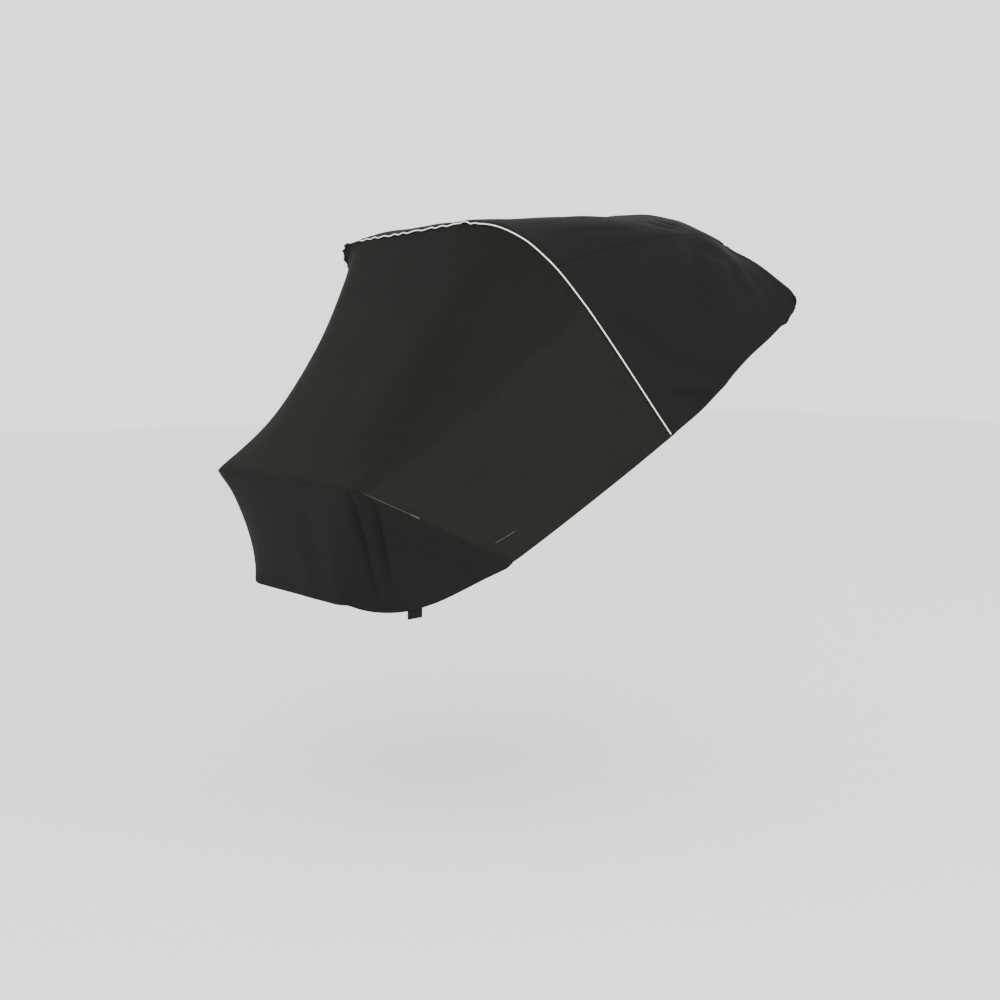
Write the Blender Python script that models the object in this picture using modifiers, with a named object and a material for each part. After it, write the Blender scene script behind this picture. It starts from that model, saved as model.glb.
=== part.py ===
# A fitted insect net for a two-seat stroller, as it hangs over the stroller's raised hood and footrest.
# A sheer net panel fills the front between a piped brim and the ridge of a closed foot panel, and a
# closed hood of one top and two side panels covers the back. The stroller itself is not part of it.
#
# Metres, +Z up. -Y is the stroller's front and +X the child's left. The origin lies in the middle
# plane, against the underside of the hood's crown, where the stroller's hood holds the cover up.

from collections import namedtuple

import bpy
import numpy as np

# Cloth and trim.
netThickness = 0.0012
clothThickness = 0.0016
pipingDiameter = 0.0036
strapWidth = 0.025
strapThickness = 0.0016

# Sewn edges: half the gap between two panels, and the narrow strip beside it that lies in the
# plane both panels share at the seam.
seamGap = 0.0003
seamStrip = 0.004
restGap = 0.0004

# How far the net and the foot panel pull in towards a taut skin between their two hoops.
netTension = 0.24
footTension = 0.71
netHemSag = 0.003

# Grid of each panel: steps front to back, and columns on one side and half the top. The columns
# crowd towards the shoulder, where the cloth bends most.
hoodSteps = 20
netSteps = 20
footSteps = 8
sideColumns = 12
topColumns = 7
shoulderCrowding = 1.5
swellSkew = 1.25
tautPasses = 400

# A section is one hoop of the cover, given for its left half: the hem, the shoulder corner where
# the side turns into the top, how far the rounding reaches from that corner, how much the crown
# rises over the shoulders, how far the side bows out, how far it sags, and where the seam between
# top and side panel lies, measured along the cloth from the middle.
sectionColumns = "hemX hemY hemZ cornerX cornerY cornerZ rounding crownRise bow sag topSeam"
Section = namedtuple("Section", sectionColumns)

hoodSections = (
    Section(0.330, -0.073, -0.409, 0.326, -0.402, -0.043, 0.132, 0.008, 0.006, -0.004, 0.377),
    Section(0.331, 0.022, -0.348, 0.326, -0.347, -0.032, 0.150, 0.010, 0.008, 0.000, 0.370),
    Section(0.332, 0.105, -0.276, 0.337, -0.189, -0.023, 0.117, 0.014, 0.008, 0.000, 0.358),
    Section(0.331, 0.180, -0.225, 0.324, -0.006, -0.022, 0.126, 0.025, 0.008, 0.000, 0.315),
    Section(0.328, 0.264, -0.160, 0.274, 0.076, -0.036, 0.152, 0.050, 0.000, -0.004, 0.285),
)
ridgeSection = Section(0.330, -0.425, -0.608, 0.266, -0.697, -0.477, 0.035, 0.000, 0.000, 0.000, 0.240)
footSection = Section(0.327, -0.437, -0.619, 0.182, -0.662, -0.684, 0.045, 0.000, 0.000, 0.031, 0.180)

# A fold is a soft trough, or a ridge where its depth is negative. It runs between two points of
# its panel's grid, each given as a share of the way front to back and a share of the way round
# from the left hem, and it bends to one side by a share of its length. Width and depth are metres.
Fold = namedtuple("Fold", "fromAlong fromRound toAlong toRound bend width depth")

footFolds = (
    Fold(1.00, 0.285, 0.12, 0.256, 0.00, 0.014, 0.0050),
    Fold(0.98, 0.248, 0.18, 0.226, 0.02, 0.014, 0.0042),
    Fold(0.60, 0.150, 0.06, 0.165, 0.05, 0.020, 0.0030),
    Fold(0.95, 0.722, 0.10, 0.750, 0.03, 0.016, 0.0035),
    Fold(0.75, 0.420, 0.04, 0.400, 0.00, 0.030, 0.0030),
)
leftFolds = (
    Fold(0.06, 0.78, 0.44, 0.05, -0.13, 0.022, 0.0075),
    Fold(0.10, 0.25, 0.32, 0.01, -0.14, 0.016, 0.0060),
    Fold(0.65, 0.92, 0.46, 0.42, 0.00, 0.020, 0.0065),
    Fold(0.64, 0.90, 0.76, 0.76, 0.05, 0.022, 0.0060),
    Fold(0.77, 0.74, 0.73, 0.38, 0.00, 0.018, 0.0050),
)
rightFolds = (
    Fold(0.08, 0.72, 0.50, 0.12, -0.12, 0.026, 0.0060),
    Fold(0.12, 0.28, 0.42, 0.04, -0.10, 0.020, 0.0045),
    Fold(0.70, 0.92, 0.56, 0.42, 0.03, 0.024, 0.0060),
)
topFolds = (
    Fold(0.12, 0.075, 0.40, 0.050, 0.05, 0.014, 0.0035),
    Fold(0.57, 0.080, 0.70, 0.030, 0.00, 0.016, 0.0035),
    Fold(0.15, 0.930, 0.45, 0.960, -0.05, 0.015, 0.0030),
    Fold(0.25, 0.220, 0.95, 0.240, 0.03, 0.030, 0.0040),
    Fold(0.30, 0.760, 0.90, 0.730, 0.03, 0.030, 0.0035),
)

# The fastening straps: short webbing ends that hang from the foot panel's hem, one on each side,
# a share of the hem's length from its ends.
strapShare = 0.186
strapGap = 0.0011
strapVisible = 0.018
strapSewn = 0.016
strapLean = -0.004
strapKnee = 0.2
strapBow = 0.0005

# How far in from its corner the hood's rear hem rounds over into the side hem.
rearRounding = 0.045

# Points on a hoop's rounded shoulder, how much of a fold's depth is left at its ends, how much of
# a hoop's straight run its rounding may take, and what carries a point over the middle plane.
shoulderPoints = 60
fadeAtEnds = 0.35
longestRounding = 0.98
otherSide = np.array((-1.0, 1.0, 1.0))


def linePoints(line, distances):
    # Points at the given distances along a polyline.
    steps = np.linalg.norm(np.diff(line, axis=0), axis=1)
    reach = np.concatenate([[0.0], np.cumsum(steps)])
    return np.stack([np.interp(distances, reach, line[:, axis]) for axis in range(3)], axis=1)


def lineLength(line):
    return np.linalg.norm(np.diff(line, axis=0), axis=1).sum()


def halfHoop(section):
    # The left half of a hoop as a fine polyline: up the side, round the shoulder, in to the crown.
    hem = np.array((section.hemX, section.hemY, section.hemZ))
    corner = np.array((section.cornerX, section.cornerY, section.cornerZ))
    crown = np.array((0.0, section.cornerY, section.cornerZ))
    side, top = np.linalg.norm(hem - corner), np.linalg.norm(crown - corner)
    start = corner + (hem - corner) * min(section.rounding / side, longestRounding)
    end = corner + (crown - corner) * min(section.rounding / top, longestRounding)
    share = np.linspace(0.0, 1.0, shoulderPoints)[:, None]
    arc = (1 - share) ** 2 * start + 2 * share * (1 - share) * corner + share ** 2 * end
    line = np.concatenate([hem + (start - hem) * share[:-1], arc, end + (crown - end) * share[1:]])
    line[:, 2] += section.crownRise * (1 - np.clip(line[:, 0] / section.cornerX, 0, 1) ** 2)
    swell = np.sin(np.pi * np.clip(np.linalg.norm(line - hem, axis=1) / side, 0, 1) ** swellSkew)
    line[:, 0] += section.bow * swell
    line[:, 2] -= section.sag * swell
    return line


def halfColumns(section, split):
    # Distances along a half hoop. They close up on the top seam, and a hood's columns step over
    # the seam's gap, so that a panel can end on either side of it.
    whole = lineLength(halfHoop(section))
    seam = whole - section.topSeam
    onSeam = [seam - seamGap, seam + seamGap] if split else [seam]
    side = (seam - seamStrip) * (1 - np.linspace(1, 0, sideColumns) ** shoulderCrowding)
    top = (section.topSeam - seamStrip) * np.linspace(0, 1, topColumns) ** shoulderCrowding
    return np.concatenate([side, onSeam, seam + seamStrip + top])


def hoop(section, split=False):
    # A whole hoop, from the left hem over the crown to the right hem.
    half = linePoints(halfHoop(section), halfColumns(section, split))
    return np.concatenate([half, half[-2::-1] * otherSide])


def smoothColumn(values, places):
    # A smooth curve through a column of a table, read at places counted in rows (Catmull-Rom).
    values = np.array(values)
    padded = np.concatenate([[2 * values[0] - values[1]], values, [2 * values[-1] - values[-2]]])
    row = np.clip(np.floor(places).astype(int), 0, len(values) - 2)
    share = places - row
    before, here, after, beyond = (padded[row + offset] for offset in range(4))
    return 0.5 * (2 * here + (after - before) * share
                  + (2 * before - 5 * here + 4 * after - beyond) * share ** 2
                  + (3 * (here - after) + beyond - before) * share ** 3)


def sectionsBetween(sections, places):
    columns = [smoothColumn([row[index] for row in sections], places) for index in range(len(sections[0]))]
    return [Section(*values) for values in zip(*columns)]


def tautGrid(front, back, steps, tension, hemSag):
    # A skin between two hoops: ruled at first, then drawn in towards the shape it would take
    # if it were stretched tight. Its two hems stay where they are.
    share = np.linspace(0.0, 1.0, steps + 1)[:, None, None]
    ruled = front * (1 - share) + back * share
    ruled[:, (0, -1), 2] -= hemSag * np.sin(np.pi * share[:, 0])
    taut = ruled.copy()
    for _ in range(tautPasses):
        around = taut[:-2, 1:-1] + taut[2:, 1:-1] + taut[1:-1, :-2] + taut[1:-1, 2:]
        taut[1:-1, 1:-1] = around / 4
    return ruled + (taut - ruled) * tension


def unit(vectors):
    return vectors / np.maximum(np.linalg.norm(vectors, axis=-1, keepdims=True), 1e-9)


def gridNormals(grid):
    along = np.gradient(grid, axis=0)
    around = np.gradient(grid, axis=1)
    return unit(np.cross(along, around))


def arcShares(grid, axis):
    # How far round its row, or along its column, each point of a grid lies, and the mean length.
    steps = np.linalg.norm(np.diff(grid, axis=axis), axis=2)
    reach = np.concatenate([np.zeros_like(np.take(steps, [0], axis)), np.cumsum(steps, axis)], axis)
    whole = np.take(reach, [-1], axis)
    return reach / whole, whole.mean()


def foldRelief(grid, folds):
    # How far each point of a panel is pressed in by its folds.
    (along, length), (around, girth) = arcShares(grid, 0), arcShares(grid, 1)
    size = np.array((length, girth))
    relief = np.zeros(along.shape)
    for fold in folds:
        start = np.array((fold.fromAlong, fold.fromRound)) * size
        run = np.array((fold.toAlong, fold.toRound)) * size - start
        reach = np.linalg.norm(run)
        way, aside = run / reach, np.array((-run[1], run[0])) / reach
        offset = np.stack([along, around], axis=-1) * size - start
        share = np.clip(offset @ way / reach, 0, 1)
        beside = offset @ aside - fold.bend * reach * np.sin(np.pi * share)
        past = offset @ way - share * reach
        fade = fadeAtEnds + (1 - fadeAtEnds) * np.sin(np.pi * share)
        relief += fold.depth * fade * np.exp(-(beside ** 2 + past ** 2) / fold.width ** 2)
    return relief


def folded(grid, folds, sewnRows, sewnColumns):
    # Press the folds in, but leave the rows and columns along a seam in their shared plane.
    relief = foldRelief(grid, folds)
    relief[sewnRows] = 0
    relief[:, sewnColumns] = 0
    return grid - gridNormals(grid) * relief[..., None]


def roundedRear(grid):
    # Draw a side panel's rear lower corner in to an arc, along the cloth itself.
    (along, length), (around, girth) = arcShares(grid, 0), arcShares(grid, 1)
    alongWay, roundWay = unit(np.gradient(grid, axis=0)), unit(np.gradient(grid, axis=1))
    nearHem = np.clip(1 - around * girth / rearRounding, 0, 1)
    nearRear = np.clip(1 - (1 - along) * length / rearRounding, 0, 1)
    fromHem = nearHem * (1 - np.sqrt(1 - nearRear ** 2 / 2)) * rearRounding
    fromRear = nearRear * (1 - np.sqrt(1 - nearHem ** 2 / 2)) * rearRounding
    return grid + roundWay * fromHem[..., None] - alongWay * fromRear[..., None]


def seamRows(frontRow, seam, backRow):
    # Two rows on each side of a seam between two panels, in the plane that both share there.
    across = unit(unit(backRow - seam) - unit(frontRow - seam))
    return [seam + across * offset for offset in (-seamStrip, -seamGap, seamGap, seamStrip)]


def sheet(name, grid, thickness, material):
    # A panel: an open surface through the grid's points, given its thickness inwards.
    rows, columns = grid.shape[:2]
    corner = np.arange(rows * columns).reshape(rows, columns)
    faces = np.stack([corner[:-1, :-1], corner[1:, :-1], corner[1:, 1:], corner[:-1, 1:]], axis=-1)
    mesh = bpy.data.meshes.new(name)
    mesh.from_pydata(grid.reshape(-1, 3).tolist(), [], faces.reshape(-1, 4).tolist())
    mesh.materials.append(material)
    mesh.shade_smooth()
    panel = bpy.data.objects.new(name, mesh)
    collection.objects.link(panel)
    wall = panel.modifiers.new("thickness", "SOLIDIFY")
    wall.thickness = thickness
    wall.offset = -1.0
    return panel


def cord(name, points, diameter, material):
    # The piping: a round cord along its points, closed at both ends.
    curve = bpy.data.curves.new(name, "CURVE")
    curve.dimensions = "3D"
    curve.bevel_depth = diameter / 2
    curve.bevel_resolution = 2
    curve.use_fill_caps = True
    spline = curve.splines.new("POLY")
    spline.points.add(len(points) - 1)
    for place, point in zip(spline.points, points):
        place.co = (*point, 1.0)
    curve.materials.append(material)
    piece = bpy.data.objects.new(name, curve)
    collection.objects.link(piece)
    return piece


def finish(name, colour, roughness):
    material = bpy.data.materials.new(name)
    material.use_nodes = True
    shader = material.node_tree.nodes["Principled BSDF"]
    shader.inputs["Base Color"].default_value = (*colour, 1.0)
    shader.inputs["Roughness"].default_value = roughness
    shader.inputs["Metallic"].default_value = 0.0
    material.diffuse_color = (*colour, 1.0)
    return material


def strap(name, footGrid, hemShare, material):
    # A flat webbing end, sewn behind the foot panel's hem and hanging out below it.
    hem, beside = linePoints(footGrid[0], np.array((hemShare, hemShare + 0.01)) * lineLength(footGrid[0]))
    above = linePoints(footGrid[1], [hemShare * lineLength(footGrid[1])])[0]
    up, along = unit(above - hem), unit(beside - hem)
    out = unit(np.cross(up, along))
    behind = hem - out * (clothThickness + strapGap)
    hanging = out * strapLean - np.array((0.0, 0.0, strapVisible))
    sewn = up * strapSewn
    knee = behind + hanging * strapKnee + out * strapBow
    levels = [behind + hanging, knee, behind, behind + sewn]
    steps = np.array(((-0.5,), (0.5,))) * strapWidth * along
    grid = np.stack([level + steps for level in levels])
    return sheet(name, grid, strapThickness, material)


for thing in list(bpy.data.objects):
    bpy.data.objects.remove(thing, do_unlink=True)

collection = bpy.data.collections.new("strollerInsectNet")
bpy.context.scene.collection.children.link(collection)

netCloth = finish("net", (0.030, 0.028, 0.022), 0.75)
closedCloth = finish("cloth", (0.022, 0.023, 0.022), 0.68)
pipingCloth = finish("piping", (0.86, 0.86, 0.85), 0.45)
webbing = finish("webbing", (0.016, 0.016, 0.017), 0.80)

# The hood, front to back, with its rows closed up on the brim.
places = np.linspace(0.0, len(hoodSections) - 1, hoodSteps + 1)
hoodGrid = np.stack([hoop(section, split=True) for section in sectionsBetween(hoodSections, places)])
onSeam = sideColumns
leftOfTop, rightOfTop = onSeam + 1, hoodGrid.shape[1] - onSeam - 2

brim, ridge, footHem = (hoop(section) for section in (hoodSections[0], ridgeSection, footSection))
netGrid = tautGrid(ridge, brim, netSteps, netTension, netHemSag)
footGrid = tautGrid(footHem, ridge, footSteps, footTension, 0.0)

# Along the brim and the ridge the neighbouring panels share a plane at the seam.
hoodBehindBrim = hoop(sectionsBetween(hoodSections, places[1:2])[0])
netEnd, netEdge, _, _ = seamRows(netGrid[-2], brim, hoodBehindBrim)
footEnd, footEdge, netStartEdge, netStart = seamRows(footGrid[-2], ridge, netGrid[1])
splitBrim = hoop(hoodSections[0], split=True)
seamColumns = (onSeam, netGrid.shape[1] - onSeam - 1)
splitNetEnd = np.insert(netGrid[-2], seamColumns, netGrid[-2][list(seamColumns)], axis=0)
_, _, hoodEdge, hoodStart = seamRows(splitNetEnd, splitBrim, hoodGrid[1])

netGrid = np.concatenate([[netStartEdge, netStart], netGrid[1:-1], [netEnd, netEdge]])
footGrid = np.concatenate([footGrid[:-1], [footEnd, footEdge]])
hoodGrid = np.concatenate([[hoodEdge, hoodStart], hoodGrid[1:]])

sheet("net_panel", netGrid, netThickness, netCloth)
footGrid = folded(footGrid, footFolds, sewnRows=[-1, -2], sewnColumns=[])
sheet("foot_panel", footGrid, clothThickness, closedCloth)
topGrid = folded(hoodGrid[:, leftOfTop:rightOfTop + 1], topFolds, [0, 1], [0, 1, -1, -2])
sheet("canopy_top", topGrid, clothThickness, closedCloth)
sideGrid = hoodGrid[:, :onSeam + 1]
leftSide = roundedRear(folded(sideGrid, leftFolds, [0, 1], [-1, -2]))
rightSide = roundedRear(folded(sideGrid, rightFolds, [0, 1], [-1, -2]))[:, ::-1] * otherSide
sheet("canopy_side_left", leftSide, clothThickness, closedCloth)
sheet("canopy_side_right", rightSide, clothThickness, closedCloth)

# The piping lies on the brim seam, clear of both panels by the rest gap.
seamOut = unit(np.cross(unit(hoodStart - hoodEdge), np.gradient(hoodEdge, axis=0)))
pipingRise = pipingDiameter / 2 + restGap
pipingPath = splitBrim + seamOut * pipingRise
keep = np.ones(len(pipingPath), bool)
keep[[onSeam, onSeam + 1, rightOfTop, rightOfTop + 1]] = False
cord("brim_piping", pipingPath[keep], pipingDiameter, pipingCloth)

strap("strap_left", footGrid, strapShare, webbing)
strap("strap_right", footGrid, 1 - strapShare, webbing)
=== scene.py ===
import math
from collections import namedtuple

import bmesh
import bpy
import numpy as np
from mathutils import Matrix


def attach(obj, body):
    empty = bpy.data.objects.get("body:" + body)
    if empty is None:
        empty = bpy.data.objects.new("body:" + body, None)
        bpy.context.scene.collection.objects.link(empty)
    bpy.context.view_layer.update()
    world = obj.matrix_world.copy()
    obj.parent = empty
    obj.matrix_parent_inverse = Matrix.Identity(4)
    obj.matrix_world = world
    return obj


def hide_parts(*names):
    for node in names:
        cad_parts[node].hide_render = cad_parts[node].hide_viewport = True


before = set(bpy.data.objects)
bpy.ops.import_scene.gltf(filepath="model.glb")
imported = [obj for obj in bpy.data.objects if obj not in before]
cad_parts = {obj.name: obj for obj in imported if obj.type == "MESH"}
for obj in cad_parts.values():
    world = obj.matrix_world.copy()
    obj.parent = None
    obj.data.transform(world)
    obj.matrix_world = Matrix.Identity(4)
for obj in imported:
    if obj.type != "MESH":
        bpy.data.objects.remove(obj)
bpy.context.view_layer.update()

# A fitted insect net with a closed hood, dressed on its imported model. Metres, +Z up, -Y to the front.
# All the cloth comes from the same hoops as the solids: a coarse grid is laid through them, read
# again finely, and pressed into hems, seams, gathers and folds.

Section = namedtuple("Section", "hemX hemY hemZ cornerX cornerY cornerZ rounding crownRise bow sag topSeam")
Fold = namedtuple("Fold", "fromAlong fromRound toAlong toRound bend width depth")

hoodSections = (  # brim first, rear hem last; lengths in metres
    Section(0.330, -0.073, -0.409, 0.326, -0.402, -0.043, 0.132, 0.008, 0.006, -0.004, 0.377),
    Section(0.331, 0.022, -0.348, 0.326, -0.347, -0.032, 0.150, 0.010, 0.008, 0.000, 0.370),
    Section(0.332, 0.105, -0.276, 0.337, -0.189, -0.023, 0.117, 0.014, 0.008, 0.000, 0.358),
    Section(0.331, 0.180, -0.225, 0.324, -0.006, -0.022, 0.126, 0.025, 0.008, 0.000, 0.315),
    Section(0.328, 0.264, -0.160, 0.274, 0.076, -0.036, 0.152, 0.050, 0.000, -0.004, 0.285),
)
ridgeSection = Section(0.330, -0.425, -0.608, 0.266, -0.697, -0.477, 0.035, 0.000, 0.000, 0.000, 0.240)
footSection = Section(0.327, -0.437, -0.619, 0.182, -0.662, -0.684, 0.045, 0.000, 0.000, 0.031, 0.180)

shape = {
    "hoodSteps": 20, "netSteps": 20, "footSteps": 8, "sideColumns": 12, "topColumns": 7,
    "crowding": 1.5, "swellSkew": 1.25, "tautPasses": 400,
    "netTension": 0.22, "footTension": 0.66, "netHemSag": 0.003,
    "shoulderPoints": 60, "longestRounding": 0.98,
}
otherSide = np.array((-1.0, 1.0, 1.0))


def unit(vectors):
    return vectors / np.maximum(np.linalg.norm(vectors, axis=-1, keepdims=True), 1e-9)


def lineReach(line):  # distance of each point from the line's start
    return np.concatenate([[0.0], np.cumsum(np.linalg.norm(np.diff(line, axis=0), axis=1))])


def linePoints(line, distances):
    reach = lineReach(line)
    return np.stack([np.interp(distances, reach, line[:, axis]) for axis in range(3)], axis=1)


def halfHoop(section):  # up the side, round the shoulder, in to the crown
    hem = np.array((section.hemX, section.hemY, section.hemZ))
    corner = np.array((section.cornerX, section.cornerY, section.cornerZ))
    crown = corner * (0, 1, 1)
    side, top = np.linalg.norm(hem - corner), np.linalg.norm(crown - corner)
    start = corner + (hem - corner) * min(section.rounding / side, shape["longestRounding"])
    end = corner + (crown - corner) * min(section.rounding / top, shape["longestRounding"])
    share = np.linspace(0.0, 1.0, shape["shoulderPoints"])[:, None]
    arc = (1 - share) ** 2 * start + 2 * share * (1 - share) * corner + share ** 2 * end
    line = np.concatenate([hem + (start - hem) * share[:-1], arc, end + (crown - end) * share[1:]])
    line[:, 2] += section.crownRise * (1 - np.clip(line[:, 0] / section.cornerX, 0, 1) ** 2)
    climbed = np.clip(np.linalg.norm(line - hem, axis=1) / side, 0, 1)
    swell = np.sin(np.pi * climbed ** shape["swellSkew"])
    line[:, 0] += section.bow * swell
    line[:, 2] -= section.sag * swell
    return line


def hoop(section):  # from the left hem over the crown to the right hem
    line = halfHoop(section)
    whole = lineReach(line)[-1]
    seam = whole - section.topSeam
    side = seam * (1 - np.linspace(1, 0, shape["sideColumns"]) ** shape["crowding"])
    top = seam + section.topSeam * np.linspace(0, 1, shape["topColumns"])[1:] ** shape["crowding"]
    half = linePoints(line, np.concatenate([side, top]))
    return np.concatenate([half, half[-2::-1] * otherSide])


def smoothRead(values, places):  # Catmull-Rom through the rows of an array, read between them
    padded = np.concatenate([[2 * values[0] - values[1]], values, [2 * values[-1] - values[-2]]])
    row = np.clip(np.floor(places).astype(int), 0, len(values) - 2)
    share = (places - row).reshape((-1,) + (1,) * (values.ndim - 1))
    before, here, after, beyond = (padded[row + offset] for offset in range(4))
    return 0.5 * (2 * here + (after - before) * share
                  + (2 * before - 5 * here + 4 * after - beyond) * share ** 2
                  + (3 * (here - after) + beyond - before) * share ** 3)


def hoodCage():
    places = np.linspace(0.0, len(hoodSections) - 1, shape["hoodSteps"] + 1)
    return np.stack([hoop(Section(*row)) for row in smoothRead(np.array(hoodSections), places)])


def tautCage(front, back, steps, tension, hemSag):  # ruled, then drawn in towards a tight skin
    share = np.linspace(0.0, 1.0, steps + 1)[:, None, None]
    ruled = front * (1 - share) + back * share
    ruled[:, (0, -1), 2] -= hemSag * np.sin(np.pi * share[:, 0])
    taut = ruled.copy()
    for _ in range(shape["tautPasses"]):
        taut[1:-1, 1:-1] = (taut[:-2, 1:-1] + taut[2:, 1:-1] + taut[1:-1, :-2] + taut[1:-1, 2:]) / 4
    return ruled + (taut - ruled) * tension


def arcReach(grid, axis):  # how far each point lies along its own row or column, in metres
    steps = np.linalg.norm(np.diff(grid, axis=axis), axis=2)
    return np.concatenate([np.zeros_like(np.take(steps, [0], axis)), np.cumsum(steps, axis)], axis)


edgeRows = np.array((0.0006, 0.0013, 0.0022, 0.0034, 0.0050, 0.0070, 0.0095, 0.0125, 0.0160))  # from a seam


def crowdedShares(length, step, ends):  # even steps, with finer ones beside the ends that ask for it
    even = np.arange(step, length - step / 2, step)
    first = edgeRows if ends[0] else []
    last = length - edgeRows if ends[1] else []
    if ends[0]:
        even = even[even > edgeRows[-1] + step / 3]
    if ends[1]:
        even = even[even < length - edgeRows[-1] - step / 3]
    return np.unique(np.concatenate([[0.0], first, even, last, [length]])) / length


def fineGrid(cage, step, alongEnds, roundEnds):
    grid = cage
    for axis, ends in ((0, alongEnds), (1, roundEnds)):
        reach = arcReach(grid, axis)
        mean = np.take(reach, [-1], axis).mean()
        share = (reach / np.take(reach, [-1], axis)).mean(axis=1 - axis)
        places = np.interp(crowdedShares(mean, step, ends), share, np.arange(len(share)))
        grid = np.swapaxes(smoothRead(np.swapaxes(grid, 0, axis), places), 0, axis)
    return grid


def gridNormals(grid):
    return unit(np.cross(np.gradient(grid, axis=0), np.gradient(grid, axis=1)))


foldEnds = 0.35  # the share of a fold's depth that is left at its ends


def foldDepth(grid, folds):  # how far the folds press each point in
    along, around = arcReach(grid, 0), arcReach(grid, 1)
    size = np.array((along[-1].mean(), around[:, -1].mean()))
    places = np.stack([along / along[-1:] * size[0], around / around[:, -1:] * size[1]], axis=-1)
    depth = np.zeros(grid.shape[:2])
    for fold in folds:
        start = np.array((fold.fromAlong, fold.fromRound)) * size
        run = np.array((fold.toAlong, fold.toRound)) * size - start
        reach = np.linalg.norm(run)
        way, aside = run / reach, np.array((-run[1], run[0])) / reach
        offset = places - start
        share = np.clip(offset @ way / reach, 0, 1)
        beside = offset @ aside - fold.bend * reach * np.sin(np.pi * share)
        past = offset @ way - share * reach
        fade = foldEnds + (1 - foldEnds) * np.sin(np.pi * share)
        depth += fold.depth * fade * np.exp(-(beside ** 2 + past ** 2) / fold.width ** 2)
    return depth


def ripple(places, pitch, seed):  # a smooth, uneven field from a few crossing waves, about -1 to 1
    rng = np.random.default_rng(seed)
    field = np.zeros(places.shape[:-1])
    for _ in range(7):
        turn, phase, scale = rng.uniform(0, np.pi), rng.uniform(0, 2 * np.pi), rng.uniform(0.7, 1.5)
        wave = places[..., 0] * np.cos(turn) + places[..., 1] * np.sin(turn)
        field += np.sin(2 * np.pi * wave / (pitch * scale) + phase)
    return field / 4


def rise(distance, width):  # 0 at the edge, 1 past the width, smooth between
    share = np.clip(distance / width, 0, 1)
    return share * share * (3 - 2 * share)


hem = {"width": 0.013, "lift": 0.0009, "edge": 0.0016, "groove": 0.0006,
       "pucker": 0.0005, "puckerPitch": 0.011, "puckerReach": 0.010}
seamLook = {"dip": 0.0011, "reach": 0.0028, "clear": 0.0040,
            "pucker": 0.0007, "puckerPitch": 0.016, "puckerReach": 0.016}


def hemRelief(fromHem, alongHem, seed):  # the turned-up edge, its stitched step and small puckers
    band = 1 - rise(fromHem - hem["width"], hem["edge"])
    groove = np.exp(-((fromHem - hem["width"]) / hem["edge"]) ** 2)
    wobble = np.sin(2 * np.pi * alongHem / hem["puckerPitch"] + 2 * np.sin(alongHem * 61 + seed))
    nearHem = np.exp(-(fromHem - hem["width"]) ** 2 / hem["puckerReach"] ** 2)
    return hem["lift"] * band - hem["groove"] * groove + hem["pucker"] * wobble * nearHem


def seamRelief(fromSeam, alongSeam, seed):  # cloth pulled down into a seam, with puckers beside it
    dip = np.exp(-(fromSeam / seamLook["reach"]) ** 2)
    phase = 2 * np.pi * alongSeam / seamLook["puckerPitch"] + 1.7 * np.sin(alongSeam * 47 + seed)
    beside = np.exp(-fromSeam / seamLook["puckerReach"]) * rise(fromSeam, seamLook["clear"])
    strength = 0.55 + 0.45 * np.sin(alongSeam * 13 + 2 * seed)
    return -seamLook["dip"] * dip + seamLook["pucker"] * beside * strength * np.sin(phase)


gather = {"start": 0.560, "end": 1.130, "pitch": 0.038, "height": 0.0007, "reach": 0.012,
          "wave": 0.0010, "peakAt": 0.626, "peakWidth": 0.014, "peakHeight": 0.0036,
          "frillAt": 1.080, "frillWidth": 0.046, "frillOut": 0.0100, "frillPitch": 0.021,
          "frillWave": 0.0020, "frillSway": 0.8, "frillLag": 3,
          "pinch": 0.0065, "pinchAt": 1.045, "pinchWidth": 0.040, "pinchReach": 0.022}
# The brim's seam: places in metres round from the left hem, how far the seam rides up at each, and
# how far the hood stands proud behind it.
brimPlaces = (0.30, 0.36, 0.42, 0.48, 0.54, 0.60, 0.66, 0.72, 0.80, 0.88, 0.96, 1.00, 1.03)
brimRises = (0, -0.0026, -0.0044, -0.0026, -0.0008, 0.0018, 0.0014, -0.0008, -0.0044, -0.0062,
             -0.0065, -0.0050, 0)
puffRises = (0, 0, 0, 0.0006, 0.0032, 0.0056, 0.0056, 0.0042, 0.0018, 0.0004, 0.0010, 0.0012, 0)
brimFade = {"net": 0.022, "hood": 0.010, "puffAt": 0.011}


def gatherPhase(around):
    return around / gather["pitch"] + 0.25 * np.sin(around * 21) + 0.12 * np.sin(around * 53)


def gatherWindow(around, fade):  # 1 over the brim's front, 0 down both its legs
    return rise(around - gather["start"], fade) * (1 - rise(around - gather["end"] + fade, fade))


def gatherHeight(around):  # small puckers of both cloths beside the brim seam
    return gather["height"] * gatherWindow(around, 0.05) * np.sin(2 * np.pi * gatherPhase(around))


def brimLift(around):  # how far the seam rides above its hoop, with one small peak
    peak = np.exp(-((around - gather["peakAt"]) / gather["peakWidth"]) ** 2)
    return np.interp(around, brimPlaces, brimRises, 0, 0) + gather["peakHeight"] * peak


def pipingWave(around):  # the gathered piping wanders up and down on the seam
    wave = np.abs(np.sin(np.pi * gatherPhase(around))) * 2 - 1.2
    return gather["wave"] * wave * gatherWindow(around, 0.05)


def shoulderPinch(fromBrim, around):  # the net is drawn in beside the far shoulder's frill
    share = fromBrim / gather["pinchReach"]
    near = np.exp(-((around - gather["pinchAt"]) / gather["pinchWidth"]) ** 2)
    return gather["pinch"] * near * share * np.exp(1 - share)


def frillShare(around):  # 1 where the seam's edge stands out past the far shoulder
    return np.exp(-((around - gather["frillAt"]) / gather["frillWidth"]) ** 4)


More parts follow.
